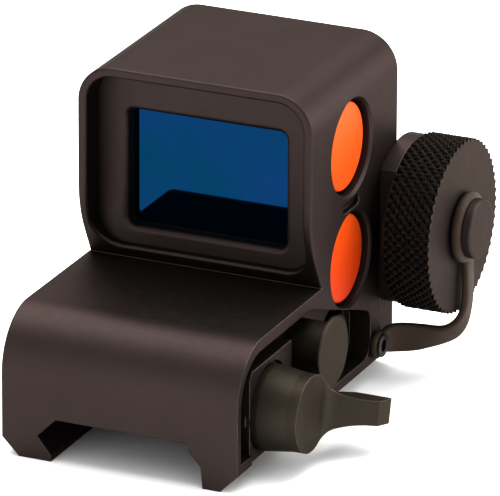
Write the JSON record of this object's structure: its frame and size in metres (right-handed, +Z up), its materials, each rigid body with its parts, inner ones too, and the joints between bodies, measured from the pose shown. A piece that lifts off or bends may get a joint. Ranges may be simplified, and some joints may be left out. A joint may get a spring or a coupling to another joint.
{
  "type": "red dot finder",
  "caption": "Closed red dot finder with a boxy hood, side push buttons, a knurled battery cap on a strap and a throw lever clamp for a dovetail rail.",
  "frame": {"origin": "middle of the rail slot's ceiling", "axes": "+Y from the front window to the rear window, +X to the button and lever side, +Z up"},
  "size_m": [0.0413, 0.0588, 0.0423],
  "materials": {
    "anodised_body": "satin",
    "anodised_cap": "satin",
    "lever_finish": "satin",
    "dark_steel": "satin",
    "spring_steel": "satin",
    "cell_steel": "satin",
    "button_orange": "satin",
    "coated_glass": "polished",
    "clear_glass": "polished",
    "seal_rubber": "matte",
    "strap_rubber": "matte",
    "circuit_board": "matte",
    "led_lens": "gloss"
  },
  "bodies": {
    "housing": {"housing": "anodised_body", "front_bezel": "anodised_body", "front_lens_gasket": "seal_rubber", "front_lens": "coated_glass", "reflector_lens": "clear_glass", "rear_cover": "anodised_body", "rear_window": "clear_glass", "rear_window_gasket": "seal_rubber", "cover_gasket": "seal_rubber", "cover_screws": "dark_steel", "main_board": "circuit_board", "emitter_carrier": "anodised_body", "led_emitter": "led_lens", "keypad_board": "circuit_board", "keypad_domes": "spring_steel", "button_seals": "seal_rubber", "windage_o_ring": "seal_rubber", "cross_bolt": "dark_steel", "jaw_springs": "spring_steel", "recoil_lug": "dark_steel", "battery_pod": "anodised_body", "pod_screws": "dark_steel", "battery_contact": "spring_steel", "coin_cell": "cell_steel", "cap_o_ring": "seal_rubber", "cap_strap": "strap_rubber", "strap_pin": "dark_steel"},
    "upper_button": {"upper_button": "button_orange"},
    "lower_button": {"lower_button": "button_orange"},
    "windage_adjuster": {"windage_adjuster": "lever_finish"},
    "elevation_adjuster": {"elevation_adjuster": "dark_steel"},
    "clamp_jaw": {"clamp_jaw": "anodised_body"},
    "clamp_lever": {"clamp_lever": "lever_finish"},
    "strap_ring": {"strap_ring": "strap_rubber"},
    "battery_cap": {"battery_cap": "anodised_cap", "cap_stud": "anodised_cap", "cap_contact": "spring_steel"}
  },
  "joints": [
    {"name": "upper_button_press", "type": "slide", "parent": "housing", "child": "upper_button", "axis": [-1, 0, 0], "range_m": [0, 0.00035], "stiffness_N_per_m": 3000, "springref_m": -0.0001},
    {"name": "lower_button_press", "type": "slide", "parent": "housing", "child": "lower_button", "axis": [-1, 0, 0], "range_m": [0, 0.00035], "stiffness_N_per_m": 3000, "springref_m": -0.0001},
    {"name": "windage_turn", "type": "hinge", "parent": "housing", "child": "windage_adjuster", "pos_m": [0.0178, -0.0007, 0.0049], "axis": [1, 0, 0], "range_deg": [-540, 540]},
    {"name": "elevation_turn", "type": "hinge", "parent": "housing", "child": "elevation_adjuster", "pos_m": [0.0133, 0.0109, 0.002], "axis": [1, 0, 0], "range_deg": [-540, 540]},
    {"name": "jaw_slide", "type": "slide", "parent": "housing", "child": "clamp_jaw", "axis": [1, 0, 0], "range_m": [0, 0.0012], "deforming": ["jaw_springs"]},
    {"name": "lever_turn", "type": "hinge", "parent": "clamp_jaw", "child": "clamp_lever", "pos_m": [0.0149, -0.013, 0.002], "axis": [1, 0, 0], "range_deg": [0, 180]},
    {"name": "cap_travel", "type": "slide", "parent": "housing", "child": "strap_ring", "axis": [1, 0, 0], "range_m": [0, 0.003], "deforming": ["cap_strap"]},
    {"name": "cap_turn", "type": "hinge", "parent": "strap_ring", "child": "battery_cap", "pos_m": [0.0235, 0.025, 0.013], "axis": [1, 0, 0], "range_deg": [0, 1440]}
  ],
  "couplings": [
    {"joint": "lever_turn", "follows": "jaw_slide", "rad_per_m": 2618},
    {"joint": "cap_travel", "follows": "cap_turn", "m_per_rad": 0.00011937}
  ]
}
